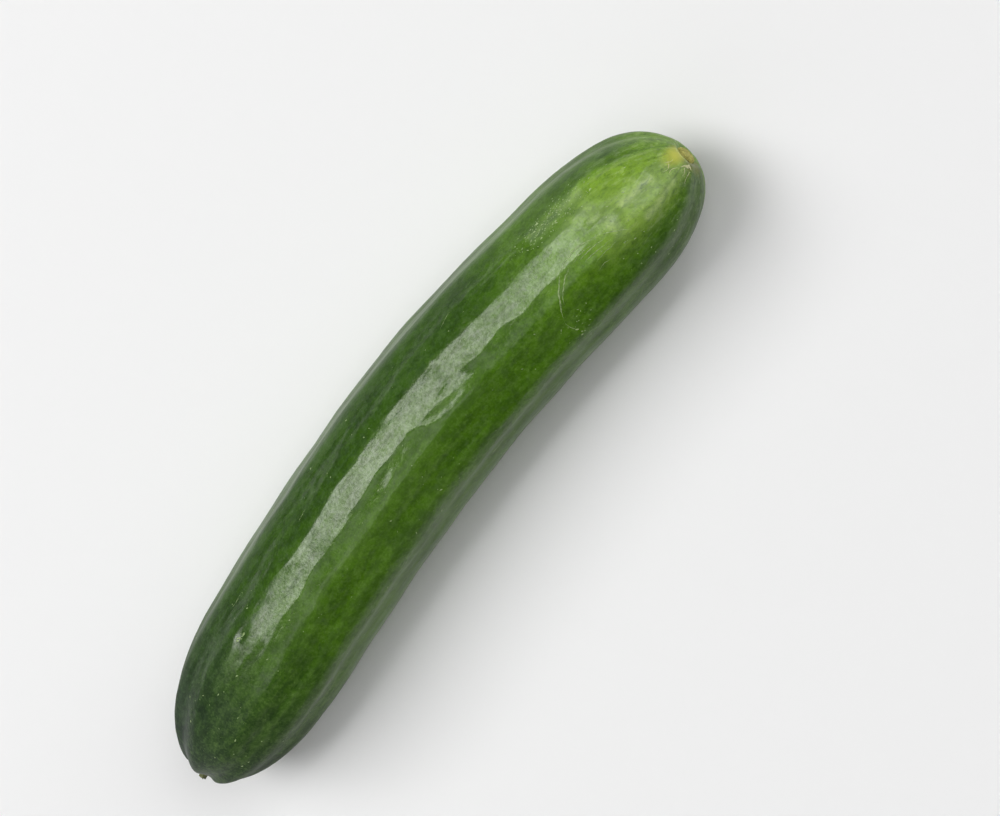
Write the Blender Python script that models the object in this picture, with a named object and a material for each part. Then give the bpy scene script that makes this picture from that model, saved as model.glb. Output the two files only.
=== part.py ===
"""A smooth slicing cucumber, as picked: one ribbed fruit lying on its side, with the stub of its stalk
in the dimple at one end and the corky scar of its blossom at the other.

Metres, +Z up. +X runs from the stalk end to the blossom end, the fruit bows towards +Y, and the origin
is on the surface that the fruit rests on, under the middle of its box.
"""

import math

import bmesh
import bpy
from mathutils import Matrix, Vector

# Fruit, driving dimensions
FRUIT_LENGTH = 0.2268
FRUIT_RADIUS = 0.0219
STALK_END_LENGTH = 0.0550
STALK_END_FULLNESS = 2.9
BLOSSOM_END_LENGTH = 0.0445
BLOSSOM_END_FULLNESS = 3.2
BLOSSOM_THINNING = 0.085

# Bend of the fruit's axis: two nearly straight arms that turn into each other
BEND_PLACE = 0.0050
BEND_LENGTH = 0.0555
STALK_ARM_SLOPE = 0.106
BLOSSOM_ARM_SLOPE = 0.165

# How far the stalk and the scar of the blossom stand off the middle of their ends
STALK_OFFSET = 0.0013
BLOSSOM_OFFSET = 0.0008
END_OFFSET_LENGTH = 0.0150

# How far the ends curl up off the ground
BLOSSOM_LIFT = 0.0045
BLOSSOM_LIFT_LENGTH = 0.058
STALK_LIFT = 0.0016
STALK_LIFT_LENGTH = 0.050

# Ribs: how many, their height, where the first one stands, and how far they wind along the fruit
RIBS = (
    (3, 0.00028, 0.50, 0.35),
    (10, 0.00030, 1.15, 0.55),
    (7, 0.00013, 2.60, -1.10),
    (13, 0.00010, 0.30, 1.60),
)
RIB_FADE_LENGTH = 0.018

# Long shallow swellings of the body: how many along the fruit, height, and lobes round it
SWELLINGS = (
    (3.1, 0.00018, 1, 0.4),
    (5.3, 0.00015, 2, 2.1),
    (8.7, 0.00010, 3, 4.4),
)

# Dimple round the stalk, with the fruit's shoulders in lobes about it
STALK_DIMPLE_DEPTH = 0.0032
STALK_DIMPLE_RADIUS = 0.0042
SHOULDER_LOBES = 5
SHOULDER_LOBE_HEIGHT = 0.0007
SHOULDER_RADIUS = 0.0085

# Dish that the blossom left
BLOSSOM_DISH_DEPTH = 0.0014
BLOSSOM_DISH_RADIUS = 0.0036

# How far the belly is pressed flat where the fruit lies
BELLY_FLAT = 0.0007

# Stub of the stalk
STUB_LENGTH = 0.0031
STUB_BASE_RADIUS = 0.0019
STUB_TIP_RADIUS = 0.0013
STUB_LEAN = 0.0004
STUB_RIBS = 5
STUB_RIB_SHARE = 0.11
STUB_SIDES = 30
STUB_STEPS = 5

# Scar of the blossom
SCAR_RADIUS = 0.0026
SCAR_THICKNESS = 0.0007
SCAR_MIDDLE_SHARE = 0.55
SCAR_RIM_HEIGHT = 0.0003
SCAR_RIM_PLACE = 0.75
SCAR_RIM_WIDTH = 0.20
SCAR_EDGE_FULLNESS = 0.6
SCAR_LOBES = 5
SCAR_LOBE_SHARE = 0.10

CLEARANCE = 0.0003

FRUIT_SEGMENTS, FRUIT_RINGS = 72, 72
SCAR_SEGMENTS, SCAR_RINGS = 30, 12


def clear_scene():
    for obj in list(bpy.data.objects):
        bpy.data.objects.remove(obj)


def smooth_rise(value):
    """0 below 0, 1 above 1, and a smooth S between."""
    value = min(1.0, max(0.0, value))
    return value * value * (3 - 2 * value)


def end_rounding(distance, length, fullness):
    """Share of the full radius at a distance from a rounded end of that length."""
    if distance >= length:
        return 1.0
    return math.sqrt(1 - (1 - distance / length) ** fullness)


def body_radius(x):
    """The fruit's radius at x before its ends are rounded: a little thinner towards the blossom."""
    return FRUIT_RADIUS * (1 - BLOSSOM_THINNING * smooth_rise(x / (FRUIT_LENGTH / 2)))


def girth(x):
    """The fruit's mean radius at x along its axis."""
    from_stalk = max(0.0, x + FRUIT_LENGTH / 2)
    from_blossom = max(0.0, FRUIT_LENGTH / 2 - x)
    return (
        body_radius(x)
        * end_rounding(from_stalk, STALK_END_LENGTH, STALK_END_FULLNESS)
        * end_rounding(from_blossom, BLOSSOM_END_LENGTH, BLOSSOM_END_FULLNESS)
    )


def axis_point(x):
    """The fruit's axis: bent sideways, as high as the body is thick, and lifted at both ends."""
    from_bend = x - BEND_PLACE
    slope = STALK_ARM_SLOPE if from_bend < 0 else BLOSSOM_ARM_SLOPE
    blossom = max(0.0, x - FRUIT_LENGTH / 2 + BLOSSOM_LIFT_LENGTH) / BLOSSOM_LIFT_LENGTH
    stalk = max(0.0, STALK_LIFT_LENGTH - FRUIT_LENGTH / 2 - x) / STALK_LIFT_LENGTH
    return Vector(
        (
            x,
            slope * (BEND_LENGTH - math.hypot(from_bend, BEND_LENGTH)),
            body_radius(x) + BLOSSOM_LIFT * blossom**2 + STALK_LIFT * stalk**2,
        )
    )


def middle_point(x):
    """The middle of the fruit's section at x, which leaves the axis close to both ends."""
    sideways = STALK_OFFSET * math.exp(-(FRUIT_LENGTH / 2 + x) / END_OFFSET_LENGTH)
    sideways += BLOSSOM_OFFSET * math.exp(-(FRUIT_LENGTH / 2 - x) / END_OFFSET_LENGTH)
    return axis_point(x) - Vector((0, sideways, 0))


def axis_frame(x):
    """Along, across and upward directions of the axis at x."""
    step = FRUIT_LENGTH / 1000
    along = (axis_point(x + step) - axis_point(x - step)).normalized()
    across = Vector((0, 0, 1)).cross(along).normalized()
    return along, across, along.cross(across)


def relief(x, angle, radius):
    """How far ribs and swellings stand out from the mean radius."""
    share = x / FRUIT_LENGTH + 0.5
    fade = smooth_rise(radius / RIB_FADE_LENGTH)
    height = sum(
        size * math.cos(count * angle + start + winding * share)
        for count, size, start, winding in RIBS
    )
    height += sum(
        size * math.cos(2 * math.pi * count * share + start) * math.cos(lobes * angle + start * count)
        for count, size, lobes, start in SWELLINGS
    )
    return height * fade


def fruit_surface(level, angle):
    """The fruit's skin: level runs from -1 at the stalk's pole to 1 at the blossom's."""
    x = level * FRUIT_LENGTH / 2
    radius = girth(x)
    radius += relief(x, angle, radius)
    along, across, up = axis_frame(x)
    if level < 0:
        inward = STALK_DIMPLE_DEPTH * math.exp(-((radius / STALK_DIMPLE_RADIUS) ** 4))
        near = (radius / SHOULDER_RADIUS) ** 2 * math.exp(1 - (radius / SHOULDER_RADIUS) ** 2)
        inward -= SHOULDER_LOBE_HEIGHT * near * math.cos(SHOULDER_LOBES * angle)
    else:
        inward = -BLOSSOM_DISH_DEPTH * math.exp(-((radius / BLOSSOM_DISH_RADIUS) ** 4))
    spoke = across * math.cos(angle) + up * math.sin(angle)
    return middle_point(x) + along * inward + spoke * radius


def scar_surface(level, angle):
    """A corky button with a lobed, raised rim and a low middle. Its foot is flat, at height 0."""
    outward = math.sqrt(max(0.0, 1 - level * level)) ** SCAR_EDGE_FULLNESS
    radius = SCAR_RADIUS * outward * (1 + SCAR_LOBE_SHARE * math.cos(SCAR_LOBES * angle) * outward)
    rim = SCAR_RIM_HEIGHT * math.exp(-(((outward - SCAR_RIM_PLACE) / SCAR_RIM_WIDTH) ** 2))
    button = SCAR_THICKNESS * (SCAR_MIDDLE_SHARE + (1 - SCAR_MIDDLE_SHARE) * outward)
    height = (button + rim) * math.sqrt(max(0.0, level))
    return Vector((radius * math.cos(angle), radius * math.sin(angle), height))


def skin_material(name, colour, roughness):
    material = bpy.data.materials.new(name)
    material.use_nodes = True
    shader = material.node_tree.nodes["Principled BSDF"]
    shader.inputs["Base Color"].default_value = (*colour, 1)
    shader.inputs["Roughness"].default_value = roughness
    shader.inputs["Metallic"].default_value = 0.0
    return material


def shaped_sphere(name, segments, rings, surface):
    """A UV sphere whose points are moved onto surface(level, angle), as a mesh object."""
    form = bmesh.new()
    bmesh.ops.create_uvsphere(form, u_segments=segments, v_segments=rings, radius=1)
    for point in form.verts:
        level = min(1.0, max(-1.0, point.co.z))
        point.co = surface(level, math.atan2(point.co.y, point.co.x))
    mesh = bpy.data.meshes.new(name)
    form.to_mesh(mesh)
    form.free()
    mesh.shade_smooth()
    return bpy.data.objects.new(name, mesh)


def make_fruit(collection):
    """The whole fruit, with its belly pressed flat at the height it rests on."""
    fruit = shaped_sphere("fruit", FRUIT_SEGMENTS, FRUIT_RINGS, fruit_surface)
    fruit.data.materials.append(skin_material("cucumber skin", (0.060, 0.135, 0.022), 0.32))
    collection.objects.link(fruit)
    lowest = min(point.co.z for point in fruit.data.vertices)
    floor = lowest + BELLY_FLAT
    for point in fruit.data.vertices:
        point.co.z = max(point.co.z, floor)
    return fruit, floor


def end_placement(x, outward, depth):
    """A frame at the floor of an end's hollow, with its Z pointing out of the fruit along the axis."""
    along, across, _ = axis_frame(x)
    way = along * outward
    side = across.cross(way)
    turn = Matrix((across, side, way)).transposed()
    if turn.determinant() < 0:
        turn = Matrix((-across, side, way)).transposed()
    return Matrix.Translation(middle_point(x) - way * (depth - CLEARANCE)) @ turn.to_4x4()


def make_stalk_stub(collection, guides):
    """A short ribbed stub: a curve that leans a little, swept with a five-ribbed outline."""
    outline = bpy.data.curves.new("stalk outline", "CURVE")
    outline.dimensions = "2D"
    ring = outline.splines.new("POLY")
    ring.points.add(STUB_SIDES - 1)
    ring.use_cyclic_u = True
    for k, point in enumerate(ring.points):
        angle = -2 * math.pi * k / STUB_SIDES
        reach = 1 + STUB_RIB_SHARE * math.cos(STUB_RIBS * angle)
        point.co = (reach * math.cos(angle), reach * math.sin(angle), 0, 1)
    guide = bpy.data.objects.new("stalk_outline", outline)
    guide.hide_render = True
    guide.display_type = "WIRE"
    guides.objects.link(guide)

    path = bpy.data.curves.new("stalk path", "CURVE")
    path.dimensions = "3D"
    path.bevel_mode = "OBJECT"
    path.bevel_object = guide
    path.use_fill_caps = True
    line = path.splines.new("POLY")
    line.points.add(STUB_STEPS - 1)
    for k, point in enumerate(line.points):
        share = k / (STUB_STEPS - 1)
        point.co = (STUB_LEAN * share**2, 0, STUB_LENGTH * share, 1)
        point.radius = STUB_BASE_RADIUS + (STUB_TIP_RADIUS - STUB_BASE_RADIUS) * share**0.6
    stub = bpy.data.objects.new("stalk_stub", path)
    stub.data.materials.append(skin_material("stalk", (0.150, 0.155, 0.045), 0.6))
    collection.objects.link(stub)
    return stub


def make_blossom_scar(collection):
    scar = shaped_sphere("blossom_scar", SCAR_SEGMENTS, SCAR_RINGS, scar_surface)
    scar.data.materials.append(skin_material("blossom cork", (0.330, 0.260, 0.110), 0.75))
    collection.objects.link(scar)
    return scar


def main():
    clear_scene()
    collection = bpy.data.collections.new("Cucumber")
    guides = bpy.data.collections.new("Guides")
    bpy.context.scene.collection.children.link(collection)
    bpy.context.scene.collection.children.link(guides)

    fruit, floor = make_fruit(collection)
    stub = make_stalk_stub(collection, guides)
    scar = make_blossom_scar(collection)
    stub.matrix_world = end_placement(-FRUIT_LENGTH / 2, -1, STALK_DIMPLE_DEPTH)
    scar.matrix_world = end_placement(FRUIT_LENGTH / 2, 1, BLOSSOM_DISH_DEPTH)

    bpy.context.view_layer.update()
    corners = [
        obj.matrix_world @ Vector(corner)
        for obj in (fruit, stub, scar)
        for corner in obj.bound_box
    ]
    middle = [
        (min(c[k] for c in corners) + max(c[k] for c in corners)) / 2 for k in range(2)
    ]
    to_origin = Matrix.Translation((-middle[0], -middle[1], -floor))
    for obj in (fruit, stub, scar):
        obj.matrix_world = to_origin @ obj.matrix_world


main()
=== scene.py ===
"""Looks of one smooth slicing cucumber lying on its side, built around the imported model."""

import math

import bpy
import numpy as np
from mathutils import Matrix, Vector


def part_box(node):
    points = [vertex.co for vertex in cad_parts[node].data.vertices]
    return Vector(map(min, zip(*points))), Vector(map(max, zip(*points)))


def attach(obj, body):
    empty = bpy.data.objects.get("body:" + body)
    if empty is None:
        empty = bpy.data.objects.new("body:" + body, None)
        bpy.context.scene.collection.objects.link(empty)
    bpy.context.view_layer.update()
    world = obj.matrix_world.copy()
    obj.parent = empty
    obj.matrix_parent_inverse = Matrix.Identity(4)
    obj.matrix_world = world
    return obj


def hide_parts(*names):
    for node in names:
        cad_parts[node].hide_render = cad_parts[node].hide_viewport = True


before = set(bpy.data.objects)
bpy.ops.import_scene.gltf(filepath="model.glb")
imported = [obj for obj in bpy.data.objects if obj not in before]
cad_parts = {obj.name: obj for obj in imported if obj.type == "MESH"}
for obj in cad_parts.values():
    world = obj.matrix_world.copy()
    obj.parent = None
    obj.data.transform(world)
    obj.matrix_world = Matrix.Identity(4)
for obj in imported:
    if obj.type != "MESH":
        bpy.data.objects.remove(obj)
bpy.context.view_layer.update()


# Fruit
# A cucumber grows as one waxy, faintly ribbed body. The skin is a deep green that pales into stripes
# and a yellow patch at the blossom end. It lies on a strip of its belly that its weight presses flat.

SIZES = {
    "Length": 0.2268,
    "Radius": 0.0219,
    "Stalk end length": 0.0550,
    "Stalk end fullness": 2.9,
    "Blossom end length": 0.0445,
    "Blossom end fullness": 3.2,
    "Blossom thinning": 0.085,
    "Bend place": 0.0050,
    "Bend length": 0.0555,
    "Stalk arm slope": 0.106,
    "Blossom arm slope": 0.165,
    "Stalk offset": 0.0013,
    "Blossom offset": 0.0008,
    "End offset length": 0.0150,
    "Blossom lift": 0.0045,
    "Blossom lift length": 0.058,
    "Stalk lift": 0.0016,
    "Stalk lift length": 0.050,
    "Stalk dimple depth": 0.0032,
    "Stalk dimple radius": 0.0042,
    "Shoulder lobe height": 0.0007,
    "Shoulder radius": 0.0085,
    "Blossom dish depth": 0.0014,
    "Blossom dish radius": 0.0036,
    "Crease height": 0.00013,
    "Wave height": 0.00030,
    "Hammer height": 0.00009,
    "Line height": 0.00009,
}
SHOULDER_LOBES = 5
RIB_FADE_LENGTH = 0.018

# Grain of the relief: the share of X that it follows, which draws it out along the fruit, and the scale,
# detail, roughness and distortion of its noise
RELIEF_GRAIN = {
    "Crease height": (0.22, 190.0, 3.0, 0.45, 0.4),
    "Wave height": (0.35, 90.0, 1.0, 0.5, 0.0),
    "Hammer height": (1.0, 360.0, 1.0, 0.5, 0.0),
    "Line height": (0.05, 520.0, 2.0, 0.5, 0.0),
}
CREASE_SHARPNESS = 3.0

# The relief grows in between these shares of RIB_FADE_LENGTH in girth
RELIEF_FADE = (0.1, 0.8)

# Ribs: how many, their height, where the first one stands, and how far they wind along the fruit
RIBS = (
    (3, 0.00028, 0.50, 0.35),
    (10, 0.00030, 1.15, 0.55),
    (7, 0.00013, 2.60, -1.10),
    (13, 0.00010, 0.30, 1.60),
)

# Long shallow swellings of the body: how many along the fruit, height, lobes round it, and start
SWELLINGS = (
    (3.1, 0.00018, 1, 0.4),
    (5.3, 0.00015, 2, 2.1),
    (8.7, 0.00010, 3, 4.4),
)

# Sharp ridges of the skin: where each starts and ends along the fruit, its angle there in degrees,
# how far it bows between, its height and its width. The top of the fruit is at 90 degrees, its outer
# side at 0.
RIDGES = (
    (-0.062, -0.024, 85, 86, 1, 0.00030, 0.0024),
    (-0.024, 0.022, 80, 84, 1, 0.00032, 0.0024),
    (0.012, 0.029, 86, 101, 4, 0.00036, 0.0024),
    (0.031, 0.037, 76, 86, 2, 0.00020, 0.0012),
    (0.037, 0.078, 86, 85, 1, 0.00034, 0.0024),
    (0.084, 0.104, 100, 96, 1, 0.00022, 0.0014),
    (0.082, 0.106, 86, 84, 1, 0.00020, 0.0013),
    (0.088, 0.1105, 49, 49, 0, 0.00018, 0.0011),
    (0.078, 0.104, 70, 62, 1, 0.00014, 0.0013),
    (0.060, 0.085, 77, 76, 1, 0.00012, 0.0010),
    (-0.062, -0.022, 71, 74, 0, 0.00014, 0.0016),
    (-0.020, 0.060, 68, 70, 2, 0.00008, 0.0020),
    (-0.056, 0.010, 97, 100, 1, 0.00036, 0.0026),
    (-0.095, 0.024, 123, 128, 0, 0.00028, 0.0015),
    (-0.078, -0.050, 119, 122, 0, -0.00018, 0.0007),
    (0.017, 0.026, 125, 127, 0, -0.00022, 0.0006),
    (0.030, 0.075, 116, 112, 2, 0.00014, 0.0024),
    (-0.085, 0.010, 110, 113, -2, 0.00012, 0.0018),
    (-0.080, 0.040, 142, 145, 2, 0.00026, 0.0022),
    (-0.070, 0.060, 158, 156, 2, 0.00020, 0.0024),
    (-0.040, 0.050, 47, 50, 2, 0.00007, 0.0024),
    (-0.080, 0.070, 28, 24, 3, 0.00010, 0.0024),
    (-0.070, 0.075, 4, 8, 3, 0.00014, 0.0024),
    (-0.080, 0.060, -22, -18, -4, 0.00020, 0.0024),
    (-0.060, 0.070, 182, 188, 3, 0.00020, 0.0024),
    (-0.085, 0.065, 208, 203, 2, 0.00022, 0.0024),
    (-0.065, 0.080, 236, 230, -3, 0.00018, 0.0024),
)
RIDGE_FADE = 0.010
RIDGE_WANDER = 0.20
RIDGE_WANDER_SCALE = 70.0
RIDGE_WANDER_STRETCH = (1.0, 0.4, 0.4)

# Dents: their middle along the fruit and angle, half length, half width and depth
DENTS = (
    (-0.0655, 65, 0.0030, 0.0011, 0.00035),
    (0.0290, 75, 0.0024, 0.0036, 0.00022),
    (-0.0240, 78, 0.0045, 0.0016, 0.00014),
    (-0.0800, 88, 0.0050, 0.0024, 0.00008),
    (0.0850, 80, 0.0050, 0.0026, 0.00020),
    (0.0800, 104, 0.0060, 0.0022, 0.00018),
    (-0.0300, 20, 0.0060, 0.0030, 0.00022),
    (0.0450, 30, 0.0070, 0.0024, 0.00020),
)

FRUIT_SEGMENTS, FRUIT_RINGS = 236, 400
RING_CROWDING = 0.12


class Wire:
    """A socket of a node tree. Arithmetic on wires adds Math nodes to their tree."""

    def __init__(self, tree, socket):
        self.tree = tree
        self.socket = socket

    @classmethod
    def node(cls, tree, kind, settings=None, sockets=None, output=0):
        """Adds a node, sets it up and then its sockets, by a value or a wire, and returns one output."""
        node = tree.nodes.new(kind)
        for name, value in (settings or {}).items():
            setattr(node, name, value)
        for name, value in (sockets or {}).items():
            if isinstance(value, Wire):
                tree.links.new(value.socket, node.inputs[name])
            else:
                node.inputs[name].default_value = value
        return cls(tree, node.outputs[output])

    def also(self, output):
        """Another output of the same node."""
        return Wire(self.tree, self.socket.node.outputs[output])

    def math(self, operation, *terms):
        return Wire.node(self.tree, "ShaderNodeMath", {"operation": operation}, dict(enumerate(terms)))

    def __add__(self, other):
        return self.math("ADD", self, other)

    def __radd__(self, other):
        return self.math("ADD", other, self)

    def __sub__(self, other):
        return self.math("SUBTRACT", self, other)

    def __rsub__(self, other):
        return self.math("SUBTRACT", other, self)

    def __mul__(self, other):
        return self.math("MULTIPLY", self, other)

    def __rmul__(self, other):
        return self.math("MULTIPLY", other, self)

    def __truediv__(self, other):
        return self.math("DIVIDE", self, other)

    def __rtruediv__(self, other):
        return self.math("DIVIDE", other, self)

    def __pow__(self, power):
        return self.math("POWER", self, power)

    def __neg__(self):
        return self.math("MULTIPLY", self, -1.0)

    def __abs__(self):
        return self.math("ABSOLUTE", self)

    def least(self, value):
        """The wire, or the value where that is larger."""
        return self.math("MAXIMUM", self, value)

    def most(self, value):
        return self.math("MINIMUM", self, value)

    def root(self):
        return self.math("SQRT", self)

    def exp(self):
        return self.math("EXPONENT", self)

    def sin(self):
        return self.math("SINE", self)

    def cos(self):
        return self.math("COSINE", self)

    def rise(self, low, high):
        """0 below low, 1 above high, and a smooth S between."""
        return Wire.node(
            self.tree,
            "ShaderNodeMapRange",
            {"interpolation_type": "SMOOTHSTEP"},
            {"Value": self, "From Min": low, "From Max": high},
        )

    def fall(self, low, high):
        return 1 - self.rise(low, high)

    def sway(self, size):
        """Noise from 0 to 1 as one that sways over this size about 0."""
        return (self - 0.5) * size


def vector(tree, x, y, z):
    return Wire.node(tree, "ShaderNodeCombineXYZ", None, {"X": x, "Y": y, "Z": z})


def vector_math(operation, first, second=None, scale=None):
    sockets = {0: first}
    if second is not None:
        sockets[1] = second
    if scale is not None:
        sockets["Scale"] = scale
    return Wire.node(first.tree, "ShaderNodeVectorMath", {"operation": operation}, sockets)


def noise(place, scale, detail=2.0, roughness=0.5, distortion=0.0):
    """Smooth noise from 0 to 1 at a place."""
    return Wire.node(
        place.tree,
        "ShaderNodeTexNoise",
        {"noise_dimensions": "3D"},
        {
            "Vector": place,
            "Scale": scale,
            "Detail": detail,
            "Roughness": roughness,
            "Distortion": distortion,
        },
    )


def drawn_noise(place, stretch, scale, detail=2.0, roughness=0.5, distortion=0.0):
    """Noise that follows only this share of X, and so is drawn out along it."""
    drawn_out = vector_math("MULTIPLY", place, (stretch, 1.0, 1.0))
    return noise(drawn_out, scale, detail, roughness, distortion)


def geometry_tree(name, inputs, outputs):
    """A new geometry tree with these sockets. Returns it, its inputs as wires and its output node."""
    tree = bpy.data.node_groups.new(name, "GeometryNodeTree")
    for label, value in inputs.items():
        kind = "NodeSocketInt" if isinstance(value, int) else "NodeSocketFloat"
        tree.interface.new_socket(label, in_out="INPUT", socket_type=kind)
    for label, kind in outputs.items():
        tree.interface.new_socket(label, in_out="OUTPUT", socket_type=kind)
    entry = tree.nodes.new("NodeGroupInput")
    exit_node = tree.nodes.new("NodeGroupOutput")
    return tree, {label: Wire(tree, entry.outputs[label]) for label in inputs}, exit_node


def grown(name, exit_node, sizes, geometry, material):
    """Ends the tree, runs it with these sizes and returns what it makes as a plain mesh object."""
    tree = geometry.tree
    real = Wire.node(tree, "GeometryNodeRealizeInstances", None, {"Geometry": geometry})
    dressed = Wire.node(
        tree, "GeometryNodeSetMaterial", None, {"Geometry": real, "Material": material}
    )
    tree.links.new(dressed.socket, exit_node.inputs["Geometry"])

    holder = bpy.data.objects.new(name, bpy.data.meshes.new(name))
    bpy.context.scene.collection.objects.link(holder)
    modifier = holder.modifiers.new("Growth", "NODES")
    modifier.node_group = tree
    for item in tree.interface.items_tree:
        if item.item_type == "SOCKET" and item.in_out == "INPUT":
            modifier[item.identifier] = sizes[item.name]
    graph = bpy.context.evaluated_depsgraph_get()
    mesh = bpy.data.meshes.new_from_object(holder.evaluated_get(graph))
    holder.modifiers.remove(modifier)
    holder.data = mesh
    mesh.name = name
    mesh.shade_smooth()
    return holder


def end_rounding(distance, length, fullness):
    """Share of the full radius at a distance from a rounded end of that length."""
    return (1 - (1 - distance / length).least(0.0) ** fullness).root()


def make_ridge_group():
    """The height of one sharp ridge at a place on the skin."""
    inputs = dict.fromkeys(
        ("X", "Angle", "Start", "End", "First angle", "Last angle", "Bow", "Height", "Width"), 0.0
    )
    tree, given, exit_node = geometry_tree("Skin ridge", inputs, {"Height": "NodeSocketFloat"})
    x, start, end = given["X"], given["Start"], given["End"]
    share = (x - start) / (end - start)
    turned = given["Last angle"] - given["First angle"]
    line = given["First angle"] + share * turned + share * (1 - share) * given["Bow"] * 4
    away = abs(((given["Angle"] - line * (math.pi / 180)) * 0.5).sin()) * (2 * SIZES["Radius"])
    there = x.rise(start - RIDGE_FADE, start) * x.fall(end, end + RIDGE_FADE)
    height = (-away / given["Width"]).exp() * there * given["Height"]
    tree.links.new(height.socket, exit_node.inputs["Height"])
    return tree


def ridge_lines(x, angle, straight):
    """Height of the sharp ridges, less the depth of the dents, at a place on the skin."""
    stretched = vector_math("MULTIPLY", straight, RIDGE_WANDER_STRETCH)
    angle = angle + noise(stretched, RIDGE_WANDER_SCALE, 1.0).sway(RIDGE_WANDER)
    labels = ("Start", "End", "First angle", "Last angle", "Bow", "Height", "Width")
    ridge_group = make_ridge_group()
    height = 0.0
    for ridge in RIDGES:
        sockets = {"X": x, "Angle": angle, **dict(zip(labels, ridge))}
        one = Wire.node(x.tree, "GeometryNodeGroup", {"node_tree": ridge_group}, sockets)
        height = one + height
    for middle, middle_angle, half_length, half_width, depth in DENTS:
        far_x = (x - middle) / half_length
        turned = (angle - math.radians(middle_angle)) * 0.5
        far_y = turned.sin() * (2 * SIZES["Radius"] / half_width)
        height = height - (-(far_x * far_x + far_y * far_y)).exp() * depth
    return height


def make_skin_group():
    """The skin at X along the fruit and an angle round it: where it is in space, its outward direction,
    where it would be if the fruit were straight and smooth, and the height of its fine relief."""
    inputs = {**SIZES, "X": 0.0, "Angle": 0.0}
    outputs = dict.fromkeys(("Place", "Outward", "Straight"), "NodeSocketVector")
    outputs["Relief"] = "NodeSocketFloat"
    tree, size, exit_node = geometry_tree("Cucumber skin", inputs, outputs)
    x, angle = size["X"], size["Angle"]
    half = size["Length"] * 0.5
    body_share = (x / half).least(0.0).most(1.0)
    body = size["Radius"] * (1 - size["Blossom thinning"] * body_share.rise(0.0, 1.0))
    stalk_end = end_rounding(
        (half + x).least(0.0), size["Stalk end length"], size["Stalk end fullness"]
    )
    blossom_end = end_rounding(
        (half - x).least(0.0), size["Blossom end length"], size["Blossom end fullness"]
    )
    girth = body * stalk_end * blossom_end

    share = x / size["Length"] + 0.5
    height = 0.0
    for count, tall, start, winding in RIBS:
        height = (angle * count + start + share * winding).cos() * tall + height
    for count, tall, lobes, start in SWELLINGS:
        along_wave = (share * (2 * math.pi * count) + start).cos()
        height = along_wave * (angle * lobes + start * count).cos() * tall + height
    fade = (girth / RIB_FADE_LENGTH).rise(0.0, 1.0)
    radius = girth + height * fade

    straight = vector(tree, x, radius * angle.cos(), radius * angle.sin())
    grain = {name: drawn_noise(straight, *settings) for name, settings in RELIEF_GRAIN.items()}
    fine = (1 - abs(grain["Crease height"] * 2 - 1)) ** CREASE_SHARPNESS * size["Crease height"]
    for name in ("Wave height", "Hammer height", "Line height"):
        fine = fine + grain[name].sway(size[name])
    fine = fine + ridge_lines(x, angle, straight)
    reach = radius + fine * (girth / RIB_FADE_LENGTH).rise(*RELIEF_FADE)

    from_bend = x - size["Bend place"]
    bend_reach = (from_bend * from_bend + size["Bend length"] * size["Bend length"]).root()
    past_bend = from_bend.math("GREATER_THAN", from_bend, 0.0)
    slope = size["Stalk arm slope"] + (size["Blossom arm slope"] - size["Stalk arm slope"]) * past_bend
    blossom = ((x - half) / size["Blossom lift length"] + 1).least(0.0)
    stalk = (1 - (half + x) / size["Stalk lift length"]).least(0.0)
    sideways = size["Stalk offset"] * (-(half + x) / size["End offset length"]).exp()
    sideways = sideways + size["Blossom offset"] * ((x - half) / size["End offset length"]).exp()
    middle = vector(
        tree,
        x,
        slope * (size["Bend length"] - bend_reach) - sideways,
        body + size["Blossom lift"] * blossom * blossom + size["Stalk lift"] * stalk * stalk,
    )

    turn = -slope * from_bend / bend_reach
    thinning_slope = -size["Radius"] * size["Blossom thinning"] * 6 * body_share * (1 - body_share) / half
    climb = (
        thinning_slope
        + 2 * size["Blossom lift"] * blossom / size["Blossom lift length"]
        - 2 * size["Stalk lift"] * stalk / size["Stalk lift length"]
    )
    along = vector_math("NORMALIZE", vector(tree, 1.0, turn, climb))
    across = vector_math("NORMALIZE", vector(tree, -turn, 1.0, 0.0))
    up = vector_math("CROSS_PRODUCT", along, across)
    spoke = vector_math(
        "ADD",
        vector_math("SCALE", across, scale=angle.cos()),
        vector_math("SCALE", up, scale=angle.sin()),
    )

    dimple = size["Stalk dimple depth"] * (-((radius / size["Stalk dimple radius"]) ** 4.0)).exp()
    near = (radius / size["Shoulder radius"]) ** 2.0
    lobes = size["Shoulder lobe height"] * near * (1 - near).exp() * (angle * SHOULDER_LOBES).cos()
    dish = size["Blossom dish depth"] * (-((radius / size["Blossom dish radius"]) ** 4.0)).exp()
    stalk_half = x.math("LESS_THAN", x, 0.0)
    inward = (dimple - lobes) * stalk_half - dish * (1 - stalk_half)

    place = vector_math("ADD", middle, vector_math("SCALE", along, scale=inward))
    place = vector_math("ADD", place, vector_math("SCALE", spoke, scale=reach))
    for label, wire in (("Place", place), ("Outward", spoke), ("Straight", straight), ("Relief", fine)):
        tree.links.new(wire.socket, exit_node.inputs[label])
    return tree


def mixed(factor, first, second, blend="MIX"):
    """Two colours mixed by a factor. Each is a wire or three numbers."""
    sockets = {"Factor": factor}
    for place, value in ((6, first), (7, second)):
        sockets[place] = value if isinstance(value, Wire) else (*value, 1)
    settings = {"data_type": "RGBA", "blend_type": blend}
    return Wire.node(factor.tree, "ShaderNodeMix", settings, sockets, output=2)


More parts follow.
